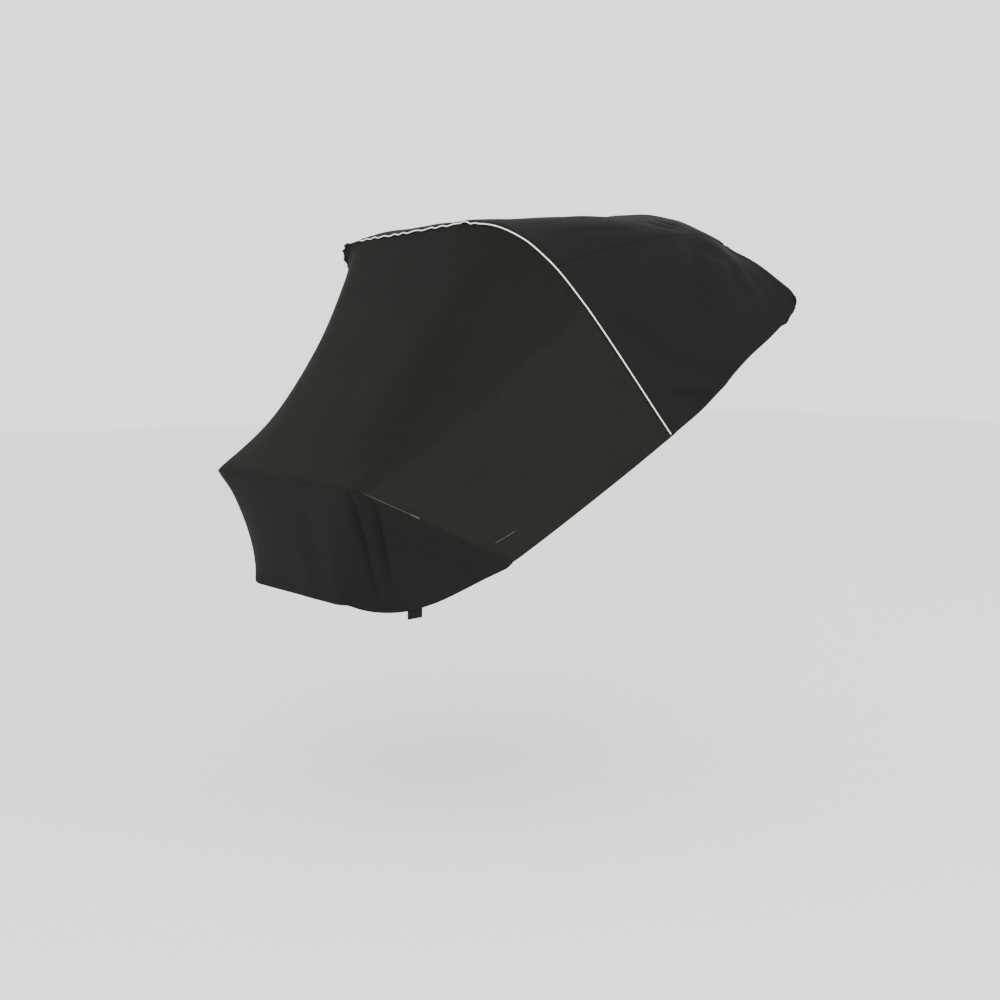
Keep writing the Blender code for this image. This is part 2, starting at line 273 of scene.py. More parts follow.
def brimPuff(fromBrim, around):  # the hood stands a little proud just behind the brim's front
    share = fromBrim / brimFade["puffAt"]
    return np.interp(around, brimPlaces, puffRises, 0, 0) * share * np.exp(1 - share)


def brimMove(fromBrim, around, fade):  # both cloths follow the seam up and down
    lift = brimLift(around) * np.exp(-fromBrim / fade)
    return lift[..., None] * np.array((0, 0, 1.0))


# Shader maths: a socket that can be added to and multiplied like a number.


class Sock:
    def __init__(self, tree, link):
        self.tree, self.link = tree, link

    def math(self, operation, *others):
        return nodeOut(self.tree, "ShaderNodeMath", {"operation": operation}, [self, *others])

    def __add__(self, other):
        return self.math("ADD", other)

    def __mul__(self, other):
        return self.math("MULTIPLY", other)

    __radd__, __rmul__ = __add__, __mul__


def node(tree, kind, settings=None, values=()):  # any node: its settings first, then its sockets
    made = tree.nodes.new(kind)
    for name, value in (settings or {}).items():
        setattr(made, name, value)
    pairs = values.items() if isinstance(values, dict) else enumerate(values)
    for key, value in pairs:
        if isinstance(value, Sock):
            tree.links.new(value.link, made.inputs[key])
        elif value is not None:
            made.inputs[key].default_value = value
    return made


def nodeOut(tree, kind, settings=None, values=(), output=0):
    return Sock(tree, node(tree, kind, settings, values).outputs[output])


def mixColour(tree, factor, first, second):
    return nodeOut(tree, "ShaderNodeMix", {"data_type": "RGBA"}, {0: factor, 6: first, 7: second}, 2)


def newMaterial(name, build):
    material = bpy.data.materials.new(name)
    material.use_nodes = True
    tree = material.node_tree
    tree.nodes.clear()
    shader = build(tree)
    output = node(tree, "ShaderNodeOutputMaterial")
    tree.links.new(shader.outputs[0], output.inputs["Surface"])
    return material


def threads(tree, pitch, slant=0.0):  # two crossing sets of threads on the cloth's own metres
    place = nodeOut(tree, "ShaderNodeUVMap", {"uv_map": "cloth"})
    turned = nodeOut(tree, "ShaderNodeMapping", None,
                     {"Vector": place, "Rotation": (0, 0, slant), "Scale": (1 / pitch,) * 3})
    split = node(tree, "ShaderNodeSeparateXYZ", None, [turned])
    warp, weft = Sock(tree, split.outputs[0]), Sock(tree, split.outputs[1])
    across = (warp * (2 * math.pi)).math("SINE")
    down = (weft * (2 * math.pi)).math("SINE")
    return across, down


def mottle(tree, scale, detail=3.0):
    place = nodeOut(tree, "ShaderNodeTexCoord", None, (), 3)
    return nodeOut(tree, "ShaderNodeTexNoise", None, {"Vector": place, "Scale": scale, "Detail": detail})


netFinish = {"light": (0.0150, 0.0138, 0.0116, 1), "dark": (0.0090, 0.0084, 0.0074, 1), "pitch": 0.0014,
             "cover": 0.95, "coverSwing": 0.02, "roughness": 0.70, "sheen": 0.003, "specular": 0.03}
clothFinish = {"light": (0.0126, 0.0131, 0.0119, 1), "dark": (0.0073, 0.0078, 0.0071, 1), "pitch": 0.0007,
               "roughness": 0.70, "sheen": 0.002, "specular": 0.03}
pipingFinish = {"light": (0.92, 0.92, 0.91, 1), "dark": (0.74, 0.74, 0.73, 1), "beads": 1400.0}
webbingFinish = {"light": (0.0090, 0.0090, 0.0095, 1), "dark": (0.0035, 0.0035, 0.0038, 1), "pitch": 0.0016}
threadFinish = {"light": (0.0085, 0.0085, 0.0080, 1), "dark": (0.0040, 0.0040, 0.0040, 1), "roughness": 0.6}
# pale colour for the net's tab thread, and also the painted highlight along the ridge seam
paleFinish = {"light": (0.11, 0.10, 0.09, 1), "dark": (0.035, 0.033, 0.029, 1), "roughness": 0.4}


def netShader(tree):
    across, down = threads(tree, netFinish["pitch"], math.radians(45))
    knots = across * down
    patch = mottle(tree, 5.0)
    grain = mottle(tree, 240.0, 2.0)
    colour = mixColour(tree, patch * 0.6 + grain * 0.4, netFinish["dark"], netFinish["light"])
    bump = nodeOut(tree, "ShaderNodeBump", None, {"Strength": 0.35, "Distance": 0.0003, "Height": knots})
    return node(tree, "ShaderNodeBsdfPrincipled", None, {
        "Base Color": colour, "Roughness": patch * 0.12 + (netFinish["roughness"] - 0.06),
        "Alpha": knots * netFinish["coverSwing"] + netFinish["cover"], "Normal": bump,
        "Specular IOR Level": netFinish["specular"], "Sheen Weight": netFinish["sheen"],
        "Sheen Roughness": 0.45, "Sheen Tint": (1.0, 0.93, 0.80, 1)})


def clothShader(tree):
    across, down = threads(tree, clothFinish["pitch"])
    weave = across * down
    patch = mottle(tree, 7.0)
    grain = mottle(tree, 420.0, 2.0)
    colour = mixColour(tree, patch * 0.5 + grain * 0.5, clothFinish["dark"], clothFinish["light"])
    height = weave * 0.6 + grain * 0.8
    bump = nodeOut(tree, "ShaderNodeBump", None, {"Strength": 0.3, "Distance": 0.0003, "Height": height})
    return node(tree, "ShaderNodeBsdfPrincipled", None, {
        "Base Color": colour, "Roughness": patch * 0.16 + (clothFinish["roughness"] - 0.08),
        "Normal": bump, "Specular IOR Level": clothFinish["specular"],
        "Sheen Weight": clothFinish["sheen"], "Sheen Roughness": 0.5, "Sheen Tint": (0.95, 1.0, 0.98, 1)})


def pipingShader(tree):
    place = nodeOut(tree, "ShaderNodeTexCoord", None, (), 3)
    beads = nodeOut(tree, "ShaderNodeTexVoronoi", None, {"Vector": place, "Scale": pipingFinish["beads"]})
    patch = mottle(tree, 60.0)
    colour = mixColour(tree, patch * 0.7, pipingFinish["light"], pipingFinish["dark"])
    bump = nodeOut(tree, "ShaderNodeBump", None, {"Strength": 0.2, "Distance": 0.0002, "Height": beads})
    return node(tree, "ShaderNodeBsdfPrincipled", None, {
        "Base Color": colour, "Roughness": patch * 0.2 + 0.25, "Normal": bump, "Specular IOR Level": 0.6})


def webbingShader(tree):
    across, down = threads(tree, webbingFinish["pitch"])
    ribs = across * 0.7 + down * 0.3
    grain = mottle(tree, 600.0, 2.0)
    colour = mixColour(tree, ribs * 0.25 + grain * 0.5, webbingFinish["dark"], webbingFinish["light"])
    bump = nodeOut(tree, "ShaderNodeBump", None, {"Strength": 0.6, "Distance": 0.0004, "Height": ribs})
    return node(tree, "ShaderNodeBsdfPrincipled", None, {
        "Base Color": colour, "Roughness": grain * 0.2 + 0.6, "Normal": bump, "Specular IOR Level": 0.15})


def threadShader(tree):
    twist = mottle(tree, 900.0, 2.0)
    colour = mixColour(tree, twist, threadFinish["dark"], threadFinish["light"])
    bump = nodeOut(tree, "ShaderNodeBump", None, {"Strength": 0.4, "Distance": 0.0002, "Height": twist})
    return node(tree, "ShaderNodeBsdfPrincipled", None, {
        "Base Color": colour, "Roughness": twist * 0.2 + threadFinish["roughness"], "Normal": bump,
        "Specular IOR Level": 0.2})


def paleShader(tree):
    twist = mottle(tree, 700.0, 2.0)
    colour = mixColour(tree, twist, paleFinish["dark"], paleFinish["light"])
    return node(tree, "ShaderNodeBsdfPrincipled", None, {
        "Base Color": colour, "Roughness": twist * 0.2 + paleFinish["roughness"]})


netCloth = newMaterial("netCloth", netShader)
closedCloth = newMaterial("closedCloth", clothShader)
pipingCloth = newMaterial("pipingCloth", pipingShader)
webbing = newMaterial("strapWebbing", webbingShader)
thread = newMaterial("thread", threadShader)
# pale thread for the net's tab, also used as the painted highlight and glint on the ridge seam
paleThreadAndPaintedHighlight = newMaterial("paleThreadAndPaintedHighlight", paleShader)
print("finishes made")

collection = bpy.data.collections.new("dressedNet")
bpy.context.scene.collection.children.link(collection)


def link(name, data):
    piece = bpy.data.objects.new(name, data)
    collection.objects.link(piece)
    return piece


def settled(piece):  # the evaluated shape as a plain mesh, with its modifiers used up
    graph = bpy.context.evaluated_depsgraph_get()
    mesh = bpy.data.meshes.new_from_object(piece.evaluated_get(graph))
    mesh.name = piece.name
    piece.modifiers.clear()
    piece.data = mesh
    return piece


def gridMesh(name, grid, material):
    rows, columns = grid.shape[:2]
    corner = np.arange(rows * columns).reshape(rows, columns)
    faces = np.stack([corner[:-1, :-1], corner[1:, :-1], corner[1:, 1:], corner[:-1, 1:]], axis=-1)
    mesh = bpy.data.meshes.new(name)
    mesh.from_pydata(grid.reshape(-1, 3).tolist(), [], faces.reshape(-1, 4).tolist())
    cloth = np.stack([arcReach(grid, 1), arcReach(grid, 0)], axis=-1).reshape(-1, 2)
    layer = mesh.uv_layers.new(name="cloth")
    layer.data.foreach_set("uv", cloth[faces.reshape(-1)].astype(np.float32).ravel())
    mesh.materials.append(material)
    mesh.shade_smooth()
    return mesh


def clothSheet(name, grid, thickness, material):
    piece = link(name, gridMesh(name, grid, material))
    wall = piece.modifiers.new("thickness", "SOLIDIFY")
    wall.thickness, wall.offset = thickness, -1.0
    return settled(piece)


def dress(piece, nodeName):
    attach(piece, "root")
    if nodeName:
        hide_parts(nodeName)


def declareSheet(grid):  # the flat cut is taken from the panel's own lengths
    along, around = arcReach(grid, 0)[-1], arcReach(grid, 1)[:, -1]
    diagonals = np.cross(grid[1:, 1:] - grid[:-1, :-1], grid[1:, :-1] - grid[:-1, 1:])
    area = np.linalg.norm(diagonals, axis=2).sum() / 2
    flat = (float(around.max()), float(max(along.max(), area / around.max())))
    return flat, area


cages = {"hood": hoodCage()}
brim, ridge, footHem = (hoop(section) for section in (hoodSections[0], ridgeSection, footSection))
cages["net"] = tautCage(ridge, brim, shape["netSteps"], shape["netTension"], shape["netHemSag"])
cages["foot"] = tautCage(footHem, ridge, shape["footSteps"], shape["footTension"], 0.0)
seamColumn = shape["sideColumns"] - 1
cages["top"] = cages["hood"][:, seamColumn:-seamColumn]
cages["left"] = cages["hood"][:, :seamColumn + 1]
print("cages laid")

footFolds = (
    Fold(1.00, 0.285, 0.12, 0.256, 0.00, 0.0068, 0.0088),
    Fold(0.98, 0.248, 0.18, 0.226, 0.02, 0.0064, 0.0080),
    Fold(0.92, 0.268, 0.40, 0.240, 0.01, 0.0080, -0.0022),
    Fold(0.60, 0.150, 0.06, 0.165, 0.05, 0.020, 0.0030),
    Fold(0.95, 0.722, 0.10, 0.750, 0.03, 0.014, 0.0038),
    Fold(0.80, 0.760, 0.20, 0.775, 0.03, 0.010, 0.0026),
    Fold(0.75, 0.420, 0.04, 0.400, 0.00, 0.030, 0.0030),
)
leftFolds = (
    Fold(0.06, 0.78, 0.44, 0.05, -0.13, 0.020, 0.0080),
    Fold(0.10, 0.25, 0.32, 0.01, -0.14, 0.013, 0.0064),
    Fold(0.06, 0.42, 0.26, 0.10, -0.12, 0.010, -0.0026),
    Fold(0.14, 0.19, 0.34, 0.02, -0.12, 0.008, 0.0034),
    Fold(0.65, 0.92, 0.46, 0.42, 0.00, 0.018, 0.0066),
    Fold(0.64, 0.90, 0.76, 0.76, 0.05, 0.020, 0.0072),
    Fold(0.77, 0.74, 0.73, 0.38, 0.00, 0.016, 0.0052),
    Fold(0.86, 0.62, 0.86, 0.22, 0.03, 0.014, 0.0030),
)
rightFolds = (
    Fold(0.08, 0.72, 0.50, 0.12, -0.12, 0.024, 0.0062),
    Fold(0.12, 0.28, 0.42, 0.04, -0.10, 0.017, 0.0048),
    Fold(0.70, 0.92, 0.56, 0.42, 0.03, 0.022, 0.0062),
    Fold(0.84, 0.70, 0.82, 0.30, 0.03, 0.015, 0.0034),
)
topFolds = (
    Fold(0.12, 0.075, 0.40, 0.050, 0.05, 0.011, 0.0036),
    Fold(0.18, 0.040, 0.34, 0.018, 0.05, 0.008, 0.0030),
    Fold(0.57, 0.080, 0.70, 0.030, 0.00, 0.013, 0.0040),
    Fold(0.66, 0.100, 0.74, 0.045, 0.00, 0.010, 0.0030),
    Fold(0.15, 0.930, 0.45, 0.960, -0.05, 0.013, 0.0032),
    Fold(0.25, 0.220, 0.95, 0.240, 0.03, 0.030, 0.0020),
    Fold(0.30, 0.760, 0.90, 0.730, 0.03, 0.030, 0.0015),
)

ridgeTurn = {"depth": 0.0020, "reach": 0.009}
brimHalf = lineReach(halfHoop(hoodSections[0]))[-1]


def edgeDistances(grid):  # metres to the first and last row, and to the first and last column
    along, around = arcReach(grid, 0), arcReach(grid, 1)
    return along, along[-1:] - along, around, around[:, -1:] - around


def brimGathers(fromBrim, around):
    return gatherHeight(around) * np.exp(-fromBrim / gather["reach"])


ridgeReach = lineReach(ridge)
ridgeOut = unit(gridNormals(cages["net"])[0] + gridNormals(cages["foot"])[-1])


def ridgeMove(fromRidge, around):  # the cloth rounds over the ridge and doesn't crease there
    share, places = around / around[:, -1:], ridgeReach / ridgeReach[-1]
    out = np.stack([np.interp(share, places, ridgeOut[:, axis]) for axis in range(3)], axis=-1)
    return -out * (ridgeTurn["depth"] * np.exp(-(fromRidge / ridgeTurn["reach"]) ** 2))[..., None]


netLook = {"step": 0.0058, "thickness": 0.0006, "ridgeSeam": 0.4, "brimSeam": 0.6,
           "ripple": 0.0009, "ripplePitch": 0.17, "calm": 0.04}


def netPanel():
    grid = fineGrid(cages["net"], netLook["step"], (True, True), (True, True))
    fromRidge, fromBrim, fromLeft, fromRight = edgeDistances(grid)
    places = np.stack([fromRidge, fromLeft], axis=-1)
    relief = netLook["ridgeSeam"] * seamRelief(fromRidge, fromLeft, 1.0)
    relief += netLook["brimSeam"] * seamRelief(fromBrim, fromLeft, 2.0)
    relief += hemRelief(fromLeft, fromRidge, 1.5) + hemRelief(fromRight, fromRidge, 2.5)
    aroundBrim = fromLeft / fromLeft[:, -1:] * 2 * brimHalf
    relief += brimGathers(fromBrim, aroundBrim) - shoulderPinch(fromBrim, aroundBrim)
    free = rise(fromRidge, netLook["calm"]) * rise(fromBrim, netLook["calm"])
    relief += netLook["ripple"] * ripple(places, netLook["ripplePitch"], 11) * free
    move = brimMove(fromBrim, aroundBrim, brimFade["net"]) + ridgeMove(fromRidge, fromLeft)
    return grid + gridNormals(grid) * relief[..., None] + move


footLook = {"step": 0.0032, "thickness": 0.0010, "ridgeSeam": 0.4, "hem": 0.6,
            "ripple": 0.0010, "ripplePitch": 0.12, "calm": 0.012}


def footPanel():
    grid = fineGrid(cages["foot"], footLook["step"], (True, True), (False, False))
    fromHem, fromRidge, fromLeft, fromRight = edgeDistances(grid)
    places = np.stack([fromHem, fromLeft], axis=-1)
    relief = footLook["ridgeSeam"] * seamRelief(fromRidge, fromLeft, 3.0)
    relief += footLook["hem"] * hemRelief(fromHem, fromLeft, 3.5)
    loose = footLook["ripple"] * ripple(places, footLook["ripplePitch"], 21)
    relief += (loose - foldDepth(grid, footFolds)) * rise(fromRidge, footLook["calm"])
    return grid + gridNormals(grid) * relief[..., None] + ridgeMove(fromRidge, fromLeft)


topLook = {"step": 0.0046, "thickness": 0.0010, "sideSeam": 1.6,
           "ripple": 0.0014, "ripplePitch": 0.13, "calm": 0.014}


def topPanel():
    grid = fineGrid(cages["top"], topLook["step"], (True, True), (True, True))
    fromBrim, fromRear, fromLeft, fromRight = edgeDistances(grid)
    places = np.stack([fromBrim, fromLeft], axis=-1)
    relief = seamRelief(fromBrim, fromLeft, 4.0) + hemRelief(fromRear, fromLeft, 4.5)
    relief += topLook["sideSeam"] * seamRelief(fromLeft, fromBrim, 5.0)
    relief += topLook["sideSeam"] * seamRelief(fromRight, fromBrim, 6.0)
    seamStart = brimHalf - hoodSections[0].topSeam
    aroundBrim = seamStart + fromLeft
    relief += brimGathers(fromBrim, aroundBrim) + brimPuff(fromBrim, aroundBrim)
    free = rise(np.minimum(np.minimum(fromLeft, fromRight), fromBrim), topLook["calm"])
    loose = topLook["ripple"] * ripple(places, topLook["ripplePitch"], 31)
    relief += (loose - foldDepth(grid, topFolds)) * free
    return grid + gridNormals(grid) * relief[..., None] + brimMove(fromBrim, aroundBrim, brimFade["hood"])


sideLook = {"step": 0.0042, "thickness": 0.0010, "topSeam": 1.3,
            "ripple": 0.0016, "ripplePitch": 0.14, "calm": 0.014}
rearCorner = {"radius": 0.045}
hemBump = {"at": 0.845, "out": 0.0048, "width": 0.010, "reach": 0.012}  # only the left hem shows one


def sidePanel(folds, seed, startAround, direction, bump=0.0):
    grid = fineGrid(cages["left"], sideLook["step"], (True, True), (True, True))
    fromBrim, fromRear, fromHem, fromSeam = edgeDistances(grid)
    places = np.stack([fromBrim, fromHem], axis=-1)
    relief = seamRelief(fromBrim, fromHem, seed) + hemRelief(fromHem, fromBrim, seed + 0.5)
    relief += sideLook["topSeam"] * seamRelief(fromSeam, fromBrim, seed + 1)
    relief += hemRelief(fromRear, fromHem, seed + 1.5)
    around = startAround + direction * fromHem
    relief += brimGathers(fromBrim, around) + brimPuff(fromBrim, around)
    loose = sideLook["ripple"] * ripple(places, sideLook["ripplePitch"], int(seed * 7))
    relief += (loose - foldDepth(grid, folds)) * rise(np.minimum(fromSeam, fromBrim), sideLook["calm"])
    dressed = grid + gridNormals(grid) * relief[..., None] + brimMove(fromBrim, around, brimFade["hood"])
    fromBump = (fromBrim / fromBrim[-1:] - hemBump["at"]) * fromBrim[-1:] / hemBump["width"]
    bulge = bump * hemBump["out"] * np.exp(-fromBump ** 2 - fromHem / hemBump["reach"])
    dressed = dressed - unit(np.gradient(grid, axis=1)) * bulge[..., None]
    return roundedCorner(dressed)


def roundedCorner(grid):  # the corner between rear hem and side hem, drawn in to an arc
    along, around = arcReach(grid, 0), arcReach(grid, 1)
    alongWay, roundWay = unit(np.gradient(grid, axis=0)), unit(np.gradient(grid, axis=1))
    radius = rearCorner["radius"]
    nearHem = np.clip(1 - around / radius, 0, 1)
    nearRear = np.clip(1 - (along[-1:] - along) / radius, 0, 1)
    hemMove = nearHem * (1 - np.sqrt(1 - nearRear ** 2 / 2)) * radius
    rearMove = nearRear * (1 - np.sqrt(1 - nearHem ** 2 / 2)) * radius
    return grid + roundWay * hemMove[..., None] - alongWay * rearMove[..., None]


grids = {
    "net": netPanel(), "foot": footPanel(), "top": topPanel(),
    "left": sidePanel(leftFolds, 7.0, 0.0, 1, bump=1.0),
    "right": sidePanel(rightFolds, 9.0, 2 * brimHalf, -1)[:, ::-1] * otherSide,
}
print("panels shaped", {name: grid.shape[:2] for name, grid in grids.items()})

netSheet = clothSheet("netFront", grids["net"], netLook["thickness"], netCloth)
footSheet = clothSheet("footWrap", grids["foot"], footLook["thickness"], closedCloth)
topSheet = clothSheet("hoodTop", grids["top"], topLook["thickness"], closedCloth)
leftSheet = clothSheet("hoodSideLeft", grids["left"], sideLook["thickness"], closedCloth)
rightSheet = clothSheet("hoodSideRight", grids["right"], sideLook["thickness"], closedCloth)

# The piping: a round cord on the brim seam, rising and falling with the gathers, on a narrow tape.

piping = {"radius": 0.0011, "rise": 0.0009, "step": 0.002, "tuck": 0.006, "tapeDrop": 0.0035,
          "tapeThickness": 0.0008, "tapeRows": 6, "sides": 14, "readPoints": 900}


def brimFrame():  # points along the brim seam, their outward directions, and distances round it
    places = np.linspace(0, len(brim) - 1, piping["readPoints"])
    line = smoothRead(brim, places)
    whole = lineReach(line)[-1]
    around = np.linspace(piping["tuck"], whole - piping["tuck"], int(whole / piping["step"]))
    netSide = smoothRead(cages["net"][-2], places)
    hoodSide = smoothRead(cages["hood"][1], places)
    across = unit(unit(hoodSide - line) - unit(netSide - line))
    out = unit(np.cross(across, np.gradient(line, axis=0)))
    return (linePoints(line, around), unit(valuesAlong(out, line, around)),
            unit(valuesAlong(across, line, around)), around)


def valuesAlong(values, line, distances):
    reach = lineReach(line)
    return np.stack([np.interp(distances, reach, values[:, axis]) for axis in range(3)], axis=1)


seamLine, seamOut, seamAcross, seamAround = brimFrame()
upward = np.array((0, 0, 1.0))
seamLine = seamLine + brimLift(seamAround)[:, None] * upward
frill = frillShare(seamAround)
frillPhase = 2 * np.pi * seamAround / gather["frillPitch"] + np.sin(seamAround * 90)
frillWave = gather["frillWave"] * np.sin(frillPhase)
pipingRise = piping["radius"] + piping["rise"] + gatherHeight(seamAround)
pipingRise = pipingRise + frill * (gather["frillOut"] + frillWave)
pipingShift = frill * gather["frillSway"] * np.roll(frillWave, gather["frillLag"])
pipingLine = seamLine + seamOut * pipingRise[:, None] + seamAcross * pipingShift[:, None]
pipingLine = pipingLine + upward * pipingWave(seamAround)[:, None]


def pathObject(name, line, out):  # a string of edges that keeps which way the cloth faces
    mesh = bpy.data.meshes.new(name)
    mesh.from_pydata(line.tolist(), [(index, index + 1) for index in range(len(line) - 1)], [])
    facing = mesh.attributes.new("clothOut", "FLOAT_VECTOR", "POINT")
    facing.data.foreach_set("vector", out.astype(np.float32).ravel())
    return link(name, mesh)


def socketId(tree, name):
    return next(item.identifier for item in tree.interface.items_tree if item.name == name)


def newTree(name, inputs):  # a path and a finish go in, besides the sizes, and a shape comes out
    tree = bpy.data.node_groups.new(name, "GeometryNodeTree")
    tree.interface.new_socket("Path", in_out="INPUT", socket_type="NodeSocketGeometry")
    tree.interface.new_socket("Finish", in_out="INPUT", socket_type="NodeSocketMaterial")
    for label, kind, value in inputs:
        tree.interface.new_socket(label, in_out="INPUT", socket_type=kind).default_value = value
    tree.interface.new_socket("Shape", in_out="OUTPUT", socket_type="NodeSocketGeometry")
    start = node(tree, "NodeGroupInput")
    return tree, {item.name: Sock(tree, start.outputs[item.name]) for item in tree.interface.items_tree
                  if item.in_out == "INPUT"}


def closeTree(tree, laid, finish):
    smooth = nodeOut(tree, "GeometryNodeSetShadeSmooth", None, [laid])
    real = nodeOut(tree, "GeometryNodeRealizeInstances", None, [smooth])
    node(tree, "NodeGroupOutput", None, [
        nodeOut(tree, "GeometryNodeSetMaterial", None, {"Geometry": real, "Material": finish})])
    return tree


def cordTree():  # sweeps a round section along the path
    tree, given = newTree("sweptCord", [("Radius", "NodeSocketFloat", 0.002), ("Sides", "NodeSocketInt", 12)])
    curve = nodeOut(tree, "GeometryNodeMeshToCurve", None, [given["Path"]])
    ring = nodeOut(tree, "GeometryNodeCurvePrimitiveCircle", None,
                   {"Resolution": given["Sides"], "Radius": given["Radius"]})
    swept = nodeOut(tree, "GeometryNodeCurveToMesh", None,
                    {"Curve": curve, "Profile Curve": ring, "Fill Caps": True})
    return closeTree(tree, swept, given["Finish"])


def stitchTree():  # lays a stitch at even steps along the path, flat on the cloth
    tree, given = newTree("stitchRow", [
        ("Step", "NodeSocketFloat", 0.0042), ("Length", "NodeSocketFloat", 0.003),
        ("Width", "NodeSocketFloat", 0.0005)])
    curve = nodeOut(tree, "GeometryNodeMeshToCurve", None, [given["Path"]])
    points = nodeOut(tree, "GeometryNodeResampleCurve", {"mode": "LENGTH"},
                     {"Curve": curve, "Length": given["Step"]})
    tangent = nodeOut(tree, "GeometryNodeInputTangent")
    facing = nodeOut(tree, "GeometryNodeInputNamedAttribute", {"data_type": "FLOAT_VECTOR"},
                     {"Name": "clothOut"})
    lying = nodeOut(tree, "FunctionNodeAlignRotationToVector", {"axis": "X"}, {"Vector": tangent})
    turned = nodeOut(tree, "FunctionNodeAlignRotationToVector", {"axis": "Z", "pivot_axis": "X"},
                     {"Rotation": lying, "Vector": facing})
    stitch = nodeOut(tree, "GeometryNodeMeshUVSphere", None, {"Segments": 6, "Rings": 4, "Radius": 0.5})
    size = nodeOut(tree, "ShaderNodeCombineXYZ", None,
                   [given["Length"], given["Width"], given["Width"] * 0.8])
    laid = nodeOut(tree, "GeometryNodeInstanceOnPoints", None,
                   {"Points": points, "Instance": stitch, "Rotation": turned, "Scale": size})
    return closeTree(tree, laid, given["Finish"])


cordGroup, stitchGroup = cordTree(), stitchTree()


def grown(name, line, out, group, sizes):
    piece = pathObject(name, line, out)
    step = piece.modifiers.new("shape", "NODES")
    step.node_group = group
    for label, value in sizes.items():
        step[socketId(group, label)] = value
    piece = settled(piece)
    piece.data.materials.clear()  # leaves no empty slot before the finish
    piece.data.materials.append(sizes["Finish"])
    return piece


def joined(name, parts, finish):  # several finished strings as one piece
    mesh = bpy.data.meshes.new(name)
    gathered = bmesh.new()
    for part in parts:
        gathered.from_mesh(part.data)
    gathered.to_mesh(mesh)
    gathered.free()
    mesh.materials.append(finish)
    mesh.shade_smooth()
    for part in parts:
        bpy.data.objects.remove(part)
    return link(name, mesh)


pipingCord = grown("brimPiping", pipingLine, seamOut, cordGroup,
                   {"Radius": piping["radius"], "Sides": piping["sides"], "Finish": pipingCloth})
tapeFoot = seamLine - seamOut * piping["tapeDrop"]
tapeShares = np.linspace(0, 1, piping["tapeRows"])
tapeGrid = np.stack([pipingLine + (tapeFoot - pipingLine) * share for share in tapeShares])
pipingTape = clothSheet("brimTape", tapeGrid, piping["tapeThickness"], closedCloth)

# Stitching: beside the seams and along the hems, read off the finished panels.

stitch = {"Step": 0.0044, "Length": 0.0031, "Width": 0.00055}
stitchPlace = {"seam": 0.0055, "hem": 0.0125, "clear": 0.00015}


def rowAt(grid, distance, side):  # the line that runs at a distance from one edge of a panel
    measures = dict(zip(("first", "last", "left", "right"), edgeDistances(grid)))
    far, normals = measures[side], gridNormals(grid)
    if side in ("left", "right"):
        grid, normals, far = np.swapaxes(grid, 0, 1), np.swapaxes(normals, 0, 1), far.T
    lines = []
    for values in (grid, normals):
        reader = [[np.interp(distance, np.sort(far[:, index]), values[np.argsort(far[:, index]), index, axis])
                   for axis in range(3)] for index in range(far.shape[1])]
        lines.append(np.array(reader))
    return evened(lines[0]) + unit(evened(lines[1])) * stitchPlace["clear"], unit(evened(lines[1]))


def evened(line):  # a sewing line doesn't follow each small pucker
    for _ in range(3):
        line = np.concatenate([line[:1], (line[:-2] + 2 * line[1:-1] + line[2:]) / 4, line[-1:]])
    return line


def stitchPiece(name, grid, places):
    sizes = {**stitch, "Finish": thread}
    rows = [grown(f"{name}Row{index}", *rowAt(grid, distance, side), stitchGroup, sizes)
            for index, (distance, side) in enumerate(places)]
    return joined(name, rows, thread)


seamStitch, hemStitch = stitchPlace["seam"], stitchPlace["hem"]
stitches = {
    "net": stitchPiece("netStitches", grids["net"], [
        (seamStitch, "first"), (seamStitch, "last"), (hemStitch, "left"), (hemStitch, "right")]),
    "foot": stitchPiece("footStitches", grids["foot"], [(seamStitch, "last"), (hemStitch, "first")]),
    "top": stitchPiece("topStitches", grids["top"], [
        (seamStitch, "first"), (seamStitch, "left"), (seamStitch, "right"), (hemStitch, "last")]),
    "left": stitchPiece("leftStitches", grids["left"], [
        (seamStitch, "first"), (hemStitch, "left"), (hemStitch, "last")]),
    "right": stitchPiece("rightStitches", grids["right"], [
        (seamStitch, "first"), (hemStitch, "right"), (hemStitch, "last")]),
}
print("stitches sewn")

# The small tab of pale thread on the left side of the net, a little above the hem.

netTab = {"startAlong": 0.047, "startRound": 0.047, "endAlong": 0.141, "endRound": 0.042,
          "width": 0.0009, "lift": 0.0008, "bow": 0.0012, "points": 24, "sides": 8}


def gridPoint(grid, along, around):
    rows, columns = grid.shape[:2]
    reachAlong, reachRound = arcReach(grid, 0), arcReach(grid, 1)
    row = int(np.argmin(np.abs((reachAlong / reachAlong[-1:]).mean(axis=1) - along)))
    column = int(np.argmin(np.abs((reachRound / reachRound[:, -1:]).mean(axis=0) - around)))
    return grid[row, column], gridNormals(grid)[row, column]


tabEnds = [gridPoint(grids["net"], netTab["startAlong"], netTab["startRound"]),
           gridPoint(grids["net"], netTab["endAlong"], netTab["endRound"])]
tabShare = np.linspace(0, 1, netTab["points"])[:, None]
tabOut = unit(tabEnds[0][1] * (1 - tabShare) + tabEnds[1][1] * tabShare)
tabLine = tabEnds[0][0] * (1 - tabShare) + tabEnds[1][0] * tabShare
tabLine = tabLine + tabOut * (netTab["lift"] + netTab["bow"] * np.sin(np.pi * tabShare))
tabPiece = grown("netTab", tabLine, tabOut, cordGroup,
                 {"Radius": netTab["width"] / 2, "Sides": netTab["sides"], "Finish": paleThreadAndPaintedHighlight})

# A paler run of thread on the left side of the ridge seam, ending in a thicker knot: both are painted
# highlight, the run for light caught along the seam's fold and the knot for a painted glint at its end.

paintedRidgeHighlight = {"fromShare": 0.166, "toShare": 0.285, "fromSeam": 0.0012, "radius": 0.0003,
               "glintRadius": 0.0008, "glintPoints": 4, "sides": 8}


